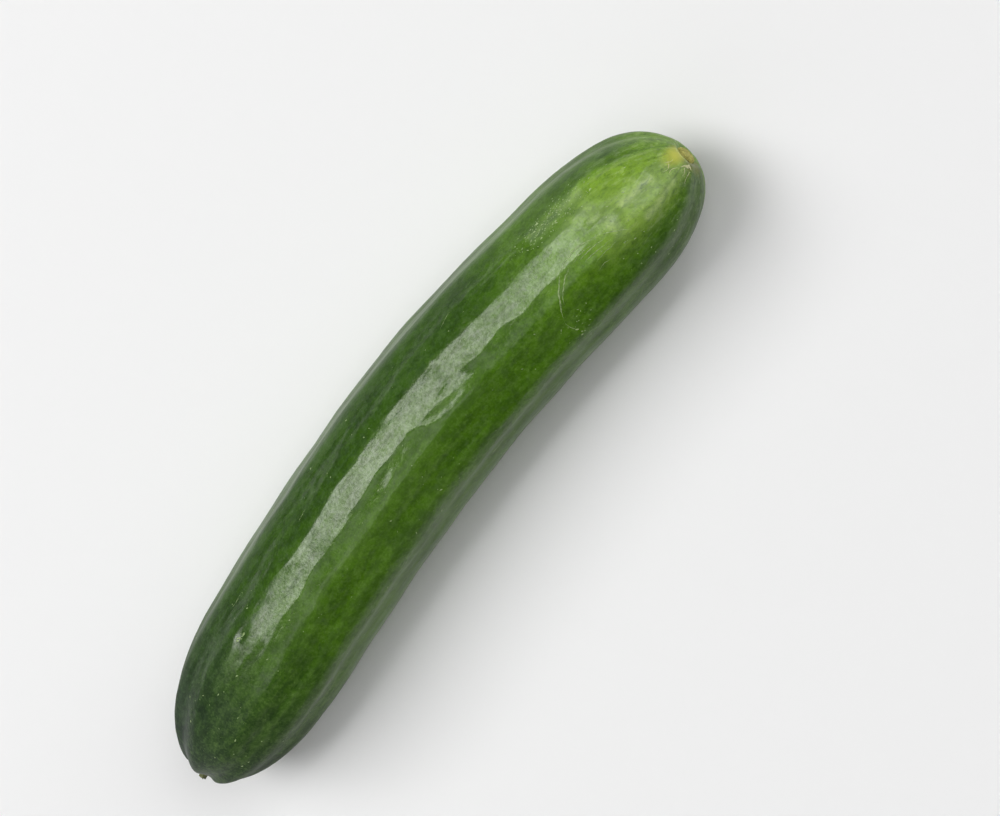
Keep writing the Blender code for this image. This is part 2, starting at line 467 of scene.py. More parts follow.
# Colours of the skin. The shade, multiplied with what it darkens, gives dark flecks and painted shade.
STALK_GREEN = (0.028, 0.062, 0.017)
MIDDLE_GREEN = (0.082, 0.196, 0.006)
BLOSSOM_GREEN = (0.165, 0.320, 0.018)
PALE_GREEN = (0.190, 0.310, 0.070)
PATCH_GREEN = (0.255, 0.390, 0.065)
WEDGE_GREEN = (0.200, 0.345, 0.024)
BORDER_GREEN = (0.340, 0.440, 0.110)
STREAK_GREEN = (0.600, 0.700, 0.350)
STROKE_GREEN = (0.420, 0.530, 0.190)
NET_GREEN = (0.450, 0.500, 0.140)
TIP_OLIVE = (0.190, 0.190, 0.040)
TIP_YELLOW = (0.540, 0.530, 0.070)
STALK_OLIVE = (0.150, 0.170, 0.045)
SHADE = (0.220, 0.270, 0.600)

# Layers of colour: where each sets in and is full, as shares of the length from the stalk end, how
# strongly it shows, and its colour
LAYERS = {
    "middle": (0.02, 0.30, 1.00, MIDDLE_GREEN),
    "ripe end": (0.70, 1.00, 1.00, BLOSSOM_GREEN),
    "stripes": (0.84, 0.99, 0.80, PALE_GREEN),
    "patch": (0.83, 0.93, 0.85, PATCH_GREEN),
    "wedge": (0.82, 0.96, 0.90, WEDGE_GREEN),
    "border": (0.88, 0.93, 0.60, BORDER_GREEN),
    "net": (0.90, 0.93, 0.55, NET_GREEN),
    "rays": (0.86, 0.92, 0.45, SHADE),
    "olive": (0.90, 0.93, 0.60, TIP_OLIVE),
    "yellow": (0.90, 0.93, 0.90, TIP_YELLOW),
}

# Grain of the colour and the wax: as for the relief, without the distortion
SKIN_GRAIN = {
    "lines": (0.06, 420.0, 3.0, 0.55),
    "blotches": (0.35, 170.0, 3.0, 0.60),
    "clouds": (1.0, 55.0, 3.0, 0.60),
    "mottle": (1.0, 620.0, 2.0, 0.60),
    "strokes": (0.09, 760.0, 3.0, 0.65),
    "pores": (1.0, 1500.0, 2.0, 0.60),
    "fine blotches": (0.60, 380.0, 3.0, 0.70),
    "net": (1.0, 420.0, 2.0, 0.60),
    "wax grain": (1.0, 1150.0, 2.0, 0.70),
    "wax streaks": (0.16, 520.0, 3.0, 0.65),
    "wax patches": (0.80, 260.0, 3.0, 0.65),
}

# Flecks: the grain that they follow, the values in it at which they set in and are full, the zone along
# the fruit, how strongly they show, and their colour
EVERYWHERE, NEAR_BLOSSOM = (-1.0, 0.0), (0.84, 0.95)
FLECKS = (
    ("lines", 0.50, 0.75, EVERYWHERE, 0.25, PALE_GREEN),
    ("strokes", 0.50, 0.68, NEAR_BLOSSOM, 0.40, STROKE_GREEN),
    ("strokes", 0.47, 0.34, NEAR_BLOSSOM, 0.35, SHADE),
    ("mottle", 0.42, 0.70, EVERYWHERE, 0.28, PALE_GREEN),
    ("pores", 0.50, 0.72, EVERYWHERE, 0.30, PALE_GREEN),
    ("pores", 0.48, 0.30, EVERYWHERE, 0.30, SHADE),
)

# Dark blotches, fine and large: the values in their grain between which they fade, how strongly they
# show, and how much more strongly on the unripe part
FINE_BLOTCH_FADE, FINE_BLOTCH_STRENGTH = (0.36, 0.60), 0.30
BLOTCH_FADE, BLOTCH_STRENGTH = (0.30, 0.62), 0.18
UNRIPE_ZONE, UNRIPE_EXTRA = (0.80, 0.97), 0.12

# The lower side, from the first angle to the second, ripens later by a share of the length
LOWER_SIDE = (math.radians(98), math.radians(132))
LATE_ZONE, LATENESS = (0.3, 0.8), 0.13
RIPENESS_SWAY = 0.20

# Stripes follow one set of ribs
STRIPED_RIBS = RIBS[1]
STRIPE_SWAY, STRIPE_SHARPNESS = 2.0, 3.0

# A pale patch on top of the blossom end, and a bright wedge with a pale lower border beside it. Angles
# are in radians unless they say degrees, and PATCH_WIDTH is a range of the cosine of the angle.
PATCH_DEGREES, PATCH_WIDTH, PATCH_SWAY = 85, (0.76, 0.98), 0.10
WEDGE_START, WEDGE_END = math.radians(48), math.radians(76)
WEDGE_LOWER_EDGE = (WEDGE_START - 0.08, WEDGE_START + 0.10)
WEDGE_UPPER_EDGE = (WEDGE_END - 0.20, WEDGE_END + 0.10)
WEDGE_EDGE_SWAY, WEDGE_LENGTH_SWAY = 0.25, 0.16
BORDER_WIDTH, BORDER_MOTTLE, BORDER_CLOUDS = 0.07, 0.12, 0.10

# Pale streaks near the blossom: start and end in metres from the middle of the fruit, angle in degrees,
# half width in radians, and strength
PALE_STREAKS = (
    (0.0870, 0.0925, 90, 0.150, 0.50),
    (0.0840, 0.0900, 76, 0.050, 0.35),
    (0.0935, 0.1065, 82, 0.060, 0.90),
    (0.0960, 0.1100, 103, 0.070, 0.60),
    (0.0700, 0.0900, 66, 0.060, 0.25),
    (0.0680, 0.0900, 51, 0.130, 0.36),
)
STREAK_FADE, STREAK_SWAY, STREAK_FLOOR = 0.002, 0.25, 0.4

# Relief: raised skin is painted paler, as painted highlight, and valleys darker, as painted shade. Each
# has its height in metres, the range of the relief over that height in which it sets in, and its
# strength.
HEIGHT_TONE = (0.0004, (0.15, 1.3), 0.20)
VALLEY_TONE = (0.0002, (-1.0, 0.6), 0.20)

# Dark sides: the outer side, but not at the blossom end, and the inner side, both as painted shade, and
# the side below the wedge and the lower side near the blossom, which are made darker. The inner side's
# width is a range of the cosine of the angle from its middle
OUTER_DEGREES, OUTER_SHARPNESS, OUTER_ZONE, OUTER_STRENGTH = 38, 3.0, (0.64, 0.94), 0.80
DARK_SIDE_EDGE = (WEDGE_START - 0.15, WEDGE_START)
DARK_SIDE_START, DARK_SIDE_END, DARK_SIDE_STRENGTH = (0.78, 0.90), (0.94, 0.99), 0.60
UNDER_ZONE, UNDER_STRENGTH = (0.82, 0.92), 0.30
INNER_DEGREES, INNER_WIDTH, INNER_STRENGTH = 165, (0.45, 1.0), 0.35

# Round the blossom scar: a net of cork, dark rays, an olive patch and a yellow one. Places and
# distances are in metres across the axis of the fruit.
NET_LINE, NET_REACH, NET_CLOUDS = 0.04, (0.004, 0.011), (0.42, 0.58)
RAYS, RAY_CLOUDS, RAY_MOTTLE, RAY_WIDTH = 18, 3.0, 0.8, 0.35
RAY_START, RAY_END = (0.0035, 0.006), (0.008, 0.017)
OLIVE_PLACE, OLIVE_REACH, OLIVE_MOTTLE = (-0.0020, 0.0020), (0.0022, 0.0054), 0.004
YELLOW_PLACE, YELLOW_SQUASH, YELLOW_REACH = (0.0019, 0.0052), 0.60, (0.0002, 0.0036)
YELLOW_CLOUDS, YELLOW_MOTTLE = 0.002, 0.001

# Olive skin in the dimple of the stalk: the zone along the fruit, and the reach across its axis
STALK_OLIVE_ZONE, STALK_OLIVE_REACH = (0.05, 0.08), (0.0020, 0.0052)
STALK_OLIVE_MOTTLE, STALK_OLIVE_STRENGTH = 0.002, 0.80

# Gloss: the top is rubbed smooth, between two sines of the angle, and the sides and the stalk end are
# dull. The clouds add roughness between two of their values, and zones are shares of the length.
RUBBED_TOP = (0.45, 0.92)
ROUGHNESS, ROUGH_CLOUDS, ROUGH_CLOUD_RANGE, ROUGH_MOTTLE = 0.09, 0.05, (0.45, 0.75), 0.05
ROUGH_BLOSSOM, ROUGH_BLOSSOM_ZONE = 0.10, (0.72, 0.95)
ROUGH_SIDES = 0.22
ROUGH_STALK, ROUGH_STALK_ZONE = 0.30, (0.05, 0.30)
PORE_DEPTH, MOTTLE_BUMP = 0.00007, 0.8

# Wax: its least weight, then what each grain adds, between which values of that grain
WAX_LEAST = 0.02
WAX_GRAIN = (
    ("wax grain", 0.36, 0.64, 0.38),
    ("wax streaks", 0.33, 0.67, 0.20),
    ("wax patches", 0.33, 0.67, 0.30),
)
WAX_ON_SIDES, WAX_AT_STALK, WAX_STALK_ZONE = 0.3, 0.15, (0.0, 0.22)


def painted(colour, paint, factor):
    """The colour under a paint. The shade darkens it, and any other paint covers it."""
    return mixed(factor, colour, paint, "MULTIPLY" if paint is SHADE else "MIX")


def layered(colour, name, mask, share):
    """The colour under one of the layers, where its mask shows."""
    start, full, strength, paint = LAYERS[name]
    return painted(colour, paint, mask * share.rise(start, full) * strength)


def from_side(angle, degrees):
    """Cosine of the angle from a side of the fruit: 1 on that side and -1 opposite."""
    return (angle - math.radians(degrees)).cos()


def off_middle(y, z):
    return (y * y + z * z).root()


def ripened(x, share, angle, grain):
    """The greens from end to end, with the stripes, patch, wedge and streaks of the blossom end."""
    clouds, blotches = grain["clouds"], grain["blotches"]
    late = angle.rise(*LOWER_SIDE) * share.rise(*LATE_ZONE) * LATENESS
    ripeness = share + clouds.sway(RIPENESS_SWAY) - late
    colour = layered(STALK_GREEN, "middle", 1.0, ripeness)
    colour = layered(colour, "ripe end", 1.0, ripeness)

    ribs, _, start, winding = STRIPED_RIBS
    on_ribs = (angle * ribs + share * winding + start + clouds.sway(STRIPE_SWAY)).cos() * 0.5 + 0.5
    colour = layered(colour, "stripes", on_ribs ** STRIPE_SHARPNESS, share)
    on_top = from_side(angle, PATCH_DEGREES).rise(*PATCH_WIDTH)
    colour = layered(colour, "patch", on_top, share + clouds.sway(PATCH_SWAY))

    wavy = angle + blotches.sway(WEDGE_EDGE_SWAY)
    wedge = wavy.rise(*WEDGE_LOWER_EDGE) * wavy.fall(*WEDGE_UPPER_EDGE)
    colour = layered(colour, "wedge", wedge, share + blotches.sway(WEDGE_LENGTH_SWAY))
    off_border = angle - WEDGE_START + grain["mottle"].sway(BORDER_MOTTLE) + clouds.sway(BORDER_CLOUDS)
    colour = layered(colour, "border", abs(off_border).fall(0.0, BORDER_WIDTH) * blotches, share)

    for start, end, degrees, half_width, strength in PALE_STREAKS:
        off_line = (angle - math.radians(degrees) + clouds.sway(STREAK_SWAY)) / half_width
        streak = (-(off_line * off_line)).exp()
        streak = streak * x.rise(start, start + STREAK_FADE) * x.fall(end - STREAK_FADE, end)
        streak = streak * (blotches * (1 - STREAK_FLOOR) + STREAK_FLOOR)
        colour = painted(colour, STREAK_GREEN, streak * strength)
    return colour


def flecked_and_shaded(colour, share, angle, relief, grain):
    """The colour with its flecks and blotches, and painted highlight and shade on its relief and sides.
    """
    for name, begin, full, zone, strength, paint in FLECKS:
        spots = grain[name].rise(begin, full) if begin < full else grain[name].fall(full, begin)
        colour = painted(colour, paint, spots * share.rise(*zone) * strength)
    unripe = share.fall(*UNRIPE_ZONE) * UNRIPE_EXTRA
    fine_blotches = grain["fine blotches"].fall(*FINE_BLOTCH_FADE) * (unripe + FINE_BLOTCH_STRENGTH)
    colour = painted(colour, SHADE, fine_blotches)
    # Painted highlight: the raised skin of the relief is painted paler.
    tall, tone_range, strength = HEIGHT_TONE
    colour = painted(colour, PALE_GREEN, (relief / tall).rise(*tone_range) * strength)

    # Painted shade: the outer and inner sides are darkened for the light that falls less on them.
    outer = (from_side(angle, OUTER_DEGREES) * 0.5 + 0.5) ** OUTER_SHARPNESS
    outer = outer * share.fall(*OUTER_ZONE) * OUTER_STRENGTH
    dark_side = (angle + grain["blotches"].sway(WEDGE_EDGE_SWAY)).fall(*DARK_SIDE_EDGE)
    dark_side = dark_side * share.rise(*DARK_SIDE_START) * share.fall(*DARK_SIDE_END)
    under = angle.rise(*LOWER_SIDE) * share.rise(*UNDER_ZONE) * UNDER_STRENGTH
    inner = from_side(angle, INNER_DEGREES).rise(*INNER_WIDTH) * INNER_STRENGTH
    # Painted shade on the outer and inner sides, with the darker zones below the wedge and near the
    # blossom.
    colour = painted(colour, SHADE, outer + dark_side * DARK_SIDE_STRENGTH + under + inner)

    blotches = grain["blotches"].fall(*BLOTCH_FADE) * (unripe + BLOTCH_STRENGTH)
    # Painted shade: the valleys of the relief are painted darker.
    deep, tone_range, strength = VALLEY_TONE
    valleys = (relief / deep).fall(*tone_range) * strength
    return painted(colour, SHADE, blotches + valleys)


def ends_coloured(colour, share, angle, y, z, grain):
    """The colour with the yellow netted skin of the blossom tip and the olive dimple of the stalk."""
    clouds, mottle = grain["clouds"], grain["mottle"]
    radius = off_middle(y, z)
    net = abs(grain["net"] - 0.5).fall(0.0, NET_LINE) * radius.fall(*NET_REACH)
    colour = layered(colour, "net", net * clouds.rise(*NET_CLOUDS), share)
    rays = (angle * (RAYS / 2) + clouds.sway(RAY_CLOUDS) + mottle.sway(RAY_MOTTLE)).sin()
    rays = abs(rays).fall(0.0, RAY_WIDTH) * radius.rise(*RAY_START) * radius.fall(*RAY_END)
    colour = layered(colour, "rays", rays, share)

    olive_y, olive_z = OLIVE_PLACE
    olive = off_middle(y - olive_y, z - olive_z) + mottle.sway(OLIVE_MOTTLE)
    colour = layered(colour, "olive", olive.fall(*OLIVE_REACH), share)
    yellow_y, yellow_z = YELLOW_PLACE
    yellow = off_middle(y - yellow_y, (z - yellow_z) * YELLOW_SQUASH)
    yellow = yellow + clouds.sway(YELLOW_CLOUDS) + mottle.sway(YELLOW_MOTTLE)
    colour = layered(colour, "yellow", yellow.fall(*YELLOW_REACH), share)

    in_dimple = (radius + mottle.sway(STALK_OLIVE_MOTTLE)).fall(*STALK_OLIVE_REACH)
    in_dimple = in_dimple * share.fall(*STALK_OLIVE_ZONE) * STALK_OLIVE_STRENGTH
    return painted(colour, STALK_OLIVE, in_dimple)


def make_skin_material():
    material = bpy.data.materials.new("cucumber skin")
    material.use_nodes = True
    tree = material.node_tree
    shader = tree.nodes["Principled BSDF"]
    straight = Wire.node(tree, "ShaderNodeAttribute", {"attribute_name": "straight"}, output="Vector")
    relief = Wire.node(tree, "ShaderNodeAttribute", {"attribute_name": "relief"}, output="Fac")
    x = Wire.node(tree, "ShaderNodeSeparateXYZ", None, {"Vector": straight})
    y, z = x.also("Y"), x.also("Z")
    angle = x.math("ARCTAN2", z, y)
    share = x / SIZES["Length"] + 0.5
    grain = {name: drawn_noise(straight, *settings) for name, settings in SKIN_GRAIN.items()}

    colour = ripened(x, share, angle, grain)
    colour = flecked_and_shaded(colour, share, angle, relief, grain)
    colour = ends_coloured(colour, share, angle, y, z, grain)
    tree.links.new(colour.socket, shader.inputs["Base Color"])

    rubbed = angle.sin().rise(*RUBBED_TOP)
    rough = ROUGHNESS + grain["clouds"].rise(*ROUGH_CLOUD_RANGE) * ROUGH_CLOUDS
    rough = rough + grain["mottle"] * ROUGH_MOTTLE + share.rise(*ROUGH_BLOSSOM_ZONE) * ROUGH_BLOSSOM
    rough = rough + (1 - rubbed) * ROUGH_SIDES + share.fall(*ROUGH_STALK_ZONE) * ROUGH_STALK
    tree.links.new(rough.socket, shader.inputs["Roughness"])
    bump_height = grain["pores"] + grain["mottle"] * MOTTLE_BUMP
    bump = Wire.node(tree, "ShaderNodeBump", None, {"Distance": PORE_DEPTH, "Height": bump_height})
    tree.links.new(bump.socket, shader.inputs["Normal"])

    wax = WAX_LEAST
    for name, low, high, weight in WAX_GRAIN:
        wax = grain[name].rise(low, high) * weight + wax
    wax = wax * (rubbed * (1 - WAX_ON_SIDES) + WAX_ON_SIDES)
    wax = wax * (share.rise(*WAX_STALK_ZONE) * (1 - WAX_AT_STALK) + WAX_AT_STALK)
    tree.links.new(wax.socket, shader.inputs["Coat Weight"])
    shader.inputs["IOR"].default_value = 1.45
    shader.inputs["Specular IOR Level"].default_value = 0.20
    shader.inputs["Specular Tint"].default_value = (0.92, 1.0, 0.68, 1)
    shader.inputs["Coat Roughness"].default_value = 0.12
    shader.inputs["Coat IOR"].default_value = 1.5
    shader.inputs["Coat Tint"].default_value = (0.95, 1.0, 0.85, 1)
    return material


def stored(geometry, name, kind, value):
    """The geometry with a value kept on its points for its material."""
    settings = {"data_type": kind, "domain": "POINT"}
    sockets = {"Geometry": geometry, "Name": name, "Value": value}
    return Wire.node(geometry.tree, "GeometryNodeStoreNamedAttribute", settings, sockets)


def make_fruit(skin_group):
    sizes = dict(SIZES, Segments=FRUIT_SEGMENTS, Rings=FRUIT_RINGS)
    tree, size, exit_node = geometry_tree("Cucumber fruit", sizes, {"Geometry": "NodeSocketGeometry"})
    ball = Wire.node(
        tree,
        "GeometryNodeMeshUVSphere",
        None,
        {"Segments": size["Segments"], "Rings": size["Rings"], "Radius": 1.0},
    )
    position = Wire.node(tree, "GeometryNodeInputPosition")
    x = Wire.node(tree, "ShaderNodeSeparateXYZ", None, {"Vector": position})
    y, z = x.also("Y"), x.also("Z")
    angle = x.math("ARCTAN2", y, x)
    turn = x.math("ARCTAN2", (x * x + y * y).root(), -z) * (2 / math.pi) - 1
    crowding = RING_CROWDING
    from_end = 1 - abs(turn)
    inset = (from_end * from_end + crowding * crowding).root() - crowding
    inset = inset / (math.hypot(1, crowding) - crowding)
    along = (1 - inset) * turn.math("SIGN", turn) * size["Length"] * 0.5
    sockets = {label: size[label] for label in SIZES}
    sockets.update(X=along, Angle=angle)
    skin = Wire.node(tree, "GeometryNodeGroup", {"node_tree": skin_group}, sockets, "Place")
    kept = stored(ball, "straight", "FLOAT_VECTOR", skin.also("Straight"))
    kept = stored(kept, "relief", "FLOAT", skin.also("Relief"))
    moved = Wire.node(tree, "GeometryNodeSetPosition", None, {"Geometry": kept, "Position": skin})
    return grown("cucumber_fruit", exit_node, sizes, moved, make_skin_material())


skin_group = make_skin_group()
fruit = make_fruit(skin_group)


def corners_of(mesh):
    places = np.empty(len(mesh.vertices) * 3, np.float32)
    mesh.vertices.foreach_get("co", places)
    places = places.reshape(-1, 3)
    return places, Vector(places.min(0)), Vector(places.max(0))


def pressed_flat(mesh):
    """Lifts what lies under the strip that the fruit rests on."""
    places, _, _ = corners_of(mesh)
    places[:, 2] = np.maximum(places[:, 2], node_low.z)
    mesh.vertices.foreach_set("co", places.ravel())
    mesh.update()


_, raw_low, raw_high = corners_of(fruit.data)
node_low, node_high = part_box("fruit")
to_frame = (node_low + node_high) / 2 - (raw_low + raw_high) / 2
to_frame.z = node_high.z - raw_high.z
fruit.data.transform(Matrix.Translation(to_frame))
pressed_flat(fruit.data)
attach(fruit, "root")
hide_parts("fruit")


# Marks of the skin
# Growing and picking leave healed scratches, a scurfy patch and pale pores. All of them are cork, thin
# and slightly raised. They are drawn flat, as metres along the fruit and round it, and laid on the skin.

# Scratches: start, bend and end, each by metres along the fruit and its angle, then the half width
SCRATCHES = (
    (0.0605, 114, 0.0640, 99, 0.0700, 87, 0.00026),
    (0.0700, 87, 0.0765, 80, 0.0850, 88, 0.00023),
    (0.0640, 106, 0.0664, 96, 0.0730, 89, 0.00019),
    (0.0605, 114, 0.0590, 121, 0.0612, 128, 0.00010),
    (0.0740, 89, 0.0790, 87, 0.0820, 90, 0.00014),
    (0.0752, 92, 0.0800, 90, 0.0860, 93, 0.00014),
    (0.0765, 95, 0.0820, 94, 0.0868, 97, 0.00013),
    (0.0790, 101, 0.0830, 99, 0.0880, 101, 0.00013),
    (0.0775, 107, 0.0800, 105, 0.0830, 107, 0.00009),
    (0.0850, 88, 0.0905, 96, 0.0925, 103, 0.00013),
    (0.1110, 98, 0.1123, 104, 0.1118, 118, 0.00028),
    (0.1117, 108, 0.1126, 114, 0.1119, 128, 0.00024),
    (0.1098, 110, 0.1112, 115, 0.1116, 104, 0.00018),
    (0.1090, 120, 0.1108, 117, 0.1116, 124, 0.00016),
    (0.1078, 84, 0.1094, 90, 0.1100, 79, 0.00013),
    (0.1084, 93, 0.1098, 87, 0.1108, 96, 0.00013),
    (0.1094, 75, 0.1106, 83, 0.1112, 77, 0.00012),
    (0.0350, 49, 0.0385, 46, 0.0400, 44, 0.00009),
    (-0.0300, 53, -0.0270, 51, -0.0255, 52, 0.00008),
    (-0.0620, 42, -0.0590, 44, -0.0570, 42, 0.00009),
    (0.0150, 150, 0.0180, 152, 0.0240, 151, 0.00012),
    (0.0030, -10, 0.0100, -16, 0.0150, -12, 0.00010),
    (-0.0500, 215, -0.0400, 208, -0.0350, 214, 0.00012),
    (0.0300, 200, 0.0360, 205, 0.0460, 203, 0.00010),
)
SCRATCH_STEPS, SCRATCH_SIDES = 60, 6
MARK_FLATNESS = 0.30

# Scratches thin out where one noise is low, down to a share of their width, and sway with another. Each
# noise has its scale, detail and roughness.
BREAK_NOISE, BREAK_RANGE, BREAK_LEAST = (900.0, 2.0, 0.7), (0.30, 0.60), 0.2
SWAY_NOISE, SCRATCH_SWAY = (420.0, 2.0, 0.6), 0.0012

# Specks: how many, from where to where along the fruit, from which angle to which, and their half width
SPECKS = (
    (260, 0.0620, 0.0930, 36, 64, 0.00013),
    (40, 0.0640, 0.0930, 38, 62, 0.00021),
    (30, 0.0540, 0.0700, 108, 138, 0.00018),
    (9, -0.0680, -0.0640, 62, 68, 0.00028),
    (90, -0.1050, 0.0600, -90, 90, 0.00014),
    (110, -0.1050, 0.0600, 20, 200, 0.00014),
    (70, -0.0800, 0.0900, 120, 300, 0.00014),
    (34, -0.1100, -0.0800, 10, 170, 0.00018),
    (60, 0.0800, 0.1080, 30, 160, 0.00016),
)

# A speck's size is drawn from a range and raised to a power, so that most specks are small. It is then
# drawn out along the fruit and turned, by chance.
SPECK_SIZES, SPECK_POWER, SPECK_WIDTH = (0.55, 1.0), 3.0, 1.3
SPECK_STRETCH, SPECK_TURN = (0.8, 2.8), 0.9
SEEDS_PER_PATCH, FIRST_SEED = 20, 5

# Cork: its noise, as above, and the values between which it turns from the first green to the second.
# Near the blossom tip, between two places along the fruit, it is yellower.
CORK_NOISE, CORK_RANGE = (1400.0, 2.0, 0.6), (0.35, 0.65)
CORK_GREENS = (0.150, 0.230, 0.070), (0.320, 0.420, 0.180)
TIP_CORK, TIP_CORK_START = (0.560, 0.560, 0.290), (0.103, 0.108)
CORK_ROUGHNESS, CORK_ROUGH_GRAIN = 0.35, 0.3


def random_value(tree, low, high, seed):
    node = tree.nodes.new("FunctionNodeRandomValue")
    node.data_type = "FLOAT"
    node.inputs[2].default_value = low
    node.inputs[3].default_value = high
    node.inputs["Seed"].default_value = seed
    return Wire(tree, node.outputs[1])


def joined(parts):
    tree = parts[0].tree
    node = tree.nodes.new("GeometryNodeJoinGeometry")
    for part in parts:
        tree.links.new(part.socket, node.inputs[0])
    return Wire(tree, node.outputs[0])


def scratch(tree, start_x, start_angle, bend_x, bend_angle, end_x, end_angle, width):
    """One scratch, drawn flat."""
    around = SIZES["Radius"] * math.pi / 180
    line = Wire.node(
        tree,
        "GeometryNodeCurveQuadraticBezier",
        None,
        {
            "Resolution": SCRATCH_STEPS,
            "Start": (start_x, start_angle * around, 0),
            "Middle": (bend_x, bend_angle * around, 0),
            "End": (end_x, end_angle * around, 0),
        },
    )
    share = Wire.node(tree, "GeometryNodeSplineParameter")
    position = Wire.node(tree, "GeometryNodeInputPosition")
    broken = noise(position, *BREAK_NOISE).rise(*BREAK_RANGE) * (1 - BREAK_LEAST) + BREAK_LEAST
    radius = (share * math.pi).sin().least(0.0) * broken * width
    offset = vector(tree, 0.0, noise(position, *SWAY_NOISE).sway(SCRATCH_SWAY), 0.0)
    bent = Wire.node(tree, "GeometryNodeSetPosition", None, {"Geometry": line, "Offset": offset})
    circle = {"Resolution": SCRATCH_SIDES, "Radius": 1.0}
    ring = Wire.node(tree, "GeometryNodeCurvePrimitiveCircle", None, circle)
    sockets = {"Curve": bent, "Profile Curve": ring, "Scale": radius, "Fill Caps": True}
    return Wire.node(tree, "GeometryNodeCurveToMesh", None, sockets)


def specks(tree, count, start, end, first_angle, last_angle, width, seed):
    """One patch of specks, drawn flat and closest together in its middle."""
    around = SIZES["Radius"] * math.pi / 180
    along = random_value(tree, start, end, seed) + random_value(tree, start, end, seed + 1)
    first, last = first_angle * around, last_angle * around
    across = random_value(tree, first, last, seed + 2) + random_value(tree, first, last, seed + 3)
    place = vector(tree, along * 0.5, across * 0.5, 0.0)
    points = Wire.node(tree, "GeometryNodePoints", None, {"Count": count, "Position": place})
    grain = Wire.node(tree, "GeometryNodeMeshIcoSphere", None, {"Radius": 1.0, "Subdivisions": 2})
    size = random_value(tree, *SPECK_SIZES, seed + 4) ** SPECK_POWER * (SPECK_WIDTH * width)
    stretch = random_value(tree, *SPECK_STRETCH, seed + 5)
    turned = random_value(tree, -SPECK_TURN, SPECK_TURN, seed + 6)
    return Wire.node(
        tree,
        "GeometryNodeInstanceOnPoints",
        None,
        {
            "Points": points,
            "Instance": grain,
            "Rotation": vector(tree, 0.0, 0.0, turned),
            "Scale": vector(tree, size * stretch, size, size),
        },
    )


def laid_on_skin(size, geometry):
    """Bends geometry that was made flat over the skin."""
    tree = geometry.tree
    position = Wire.node(tree, "GeometryNodeInputPosition")
    flat = Wire.node(tree, "ShaderNodeSeparateXYZ", None, {"Vector": position})
    sockets = {**size, "X": flat, "Angle": flat.also("Y") / size["Radius"]}
    skin = Wire.node(tree, "GeometryNodeGroup", {"node_tree": skin_group}, sockets, "Place")
    raised = vector_math("SCALE", skin.also("Outward"), scale=flat.also("Z") * MARK_FLATNESS)
    place = vector_math("ADD", skin, raised)
    return Wire.node(tree, "GeometryNodeSetPosition", None, {"Geometry": geometry, "Position": place})


def make_cork_material():
    material = bpy.data.materials.new("skin cork")
    material.use_nodes = True
    tree = material.node_tree
    shader = tree.nodes["Principled BSDF"]
    place = Wire.node(tree, "ShaderNodeTexCoord", output="Object")
    grain = noise(place, *CORK_NOISE)
    colour = mixed(grain.rise(*CORK_RANGE), *CORK_GREENS)
    x = Wire.node(tree, "ShaderNodeSeparateXYZ", None, {"Vector": place})
    colour = mixed(x.rise(*TIP_CORK_START), colour, TIP_CORK)
    tree.links.new(colour.socket, shader.inputs["Base Color"])
    rough = grain * CORK_ROUGH_GRAIN + CORK_ROUGHNESS
    tree.links.new(rough.socket, shader.inputs["Roughness"])
    return material


def make_marks():
    tree, size, exit_node = geometry_tree("Cucumber marks", SIZES, {"Geometry": "NodeSocketGeometry"})
    parts = [scratch(tree, *line) for line in SCRATCHES]
    for number, patch in enumerate(SPECKS):
        parts.append(specks(tree, *patch, seed=SEEDS_PER_PATCH * number + FIRST_SEED))
    real = Wire.node(tree, "GeometryNodeRealizeInstances", None, {"Geometry": joined(parts)})
    laid = laid_on_skin(size, real)
    return grown("cucumber_marks", exit_node, SIZES, laid, make_cork_material())


marks = make_marks()
marks.data.transform(Matrix.Translation(to_frame))
pressed_flat(marks.data)
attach(marks, "root")


# Stalk stub
# What is left of the stalk where the fruit was picked: a short stub of dry, woody fibres with five ribs.
# It has grown into the dimple of the stalk end, and its tip is torn.

STUB_LENGTH = 0.0048
STUB_BASE_RADIUS, STUB_TIP_RADIUS, STUB_TAPER = 0.0019, 0.0010, 0.6
STUB_FOOT_FLARE, STUB_FOOT_SHARPNESS = 0.0004, 5.0
STUB_SIDES, STUB_STEPS, STUB_CAP_RINGS = 100, 40, 14
STUB_BEND = 0.0004
STALK_WAY = Vector((-1, -0.096, 0.064)).normalized()

# Ribs and, between them, cords of fibre: how many, their share of the radius, and how far they wind
STUB_RIBS = ((5, 0.13, 0.0), (17, 0.035, 1.5))

# The tear: from where it roughens the tip, how rough and how hollow it is, and its noise's scale,
# detail and roughness over the radius
TEAR_START, TEAR_HEIGHT, TEAR_HOLLOW = 0.72, 0.0016, 0.0005
TEAR_SPREAD, TEAR_NOISE = 2.2, (1.6, 3.0, 0.7)

FIBRES, FIBRE_RANGE, FIBRE_DEPTH = (0.2, 2600.0, 3.0, 0.6), (0.35, 0.70), 0.0001
STUB_GREENS = (0.040, 0.055, 0.014), (0.190, 0.200, 0.070)
STUB_ROUGHNESS = 0.65


def make_stub_material():
    material = bpy.data.materials.new("dry stalk")
    material.use_nodes = True
    tree = material.node_tree
    shader = tree.nodes["Principled BSDF"]
    place = Wire.node(tree, "ShaderNodeTexCoord", output="Object")
    fibres = drawn_noise(place, *FIBRES)
    colour = mixed(fibres.rise(*FIBRE_RANGE), *STUB_GREENS)
    tree.links.new(colour.socket, shader.inputs["Base Color"])
    bump = Wire.node(tree, "ShaderNodeBump", None, {"Distance": FIBRE_DEPTH, "Height": fibres})
    tree.links.new(bump.socket, shader.inputs["Normal"])
    shader.inputs["Roughness"].default_value = STUB_ROUGHNESS
    return material


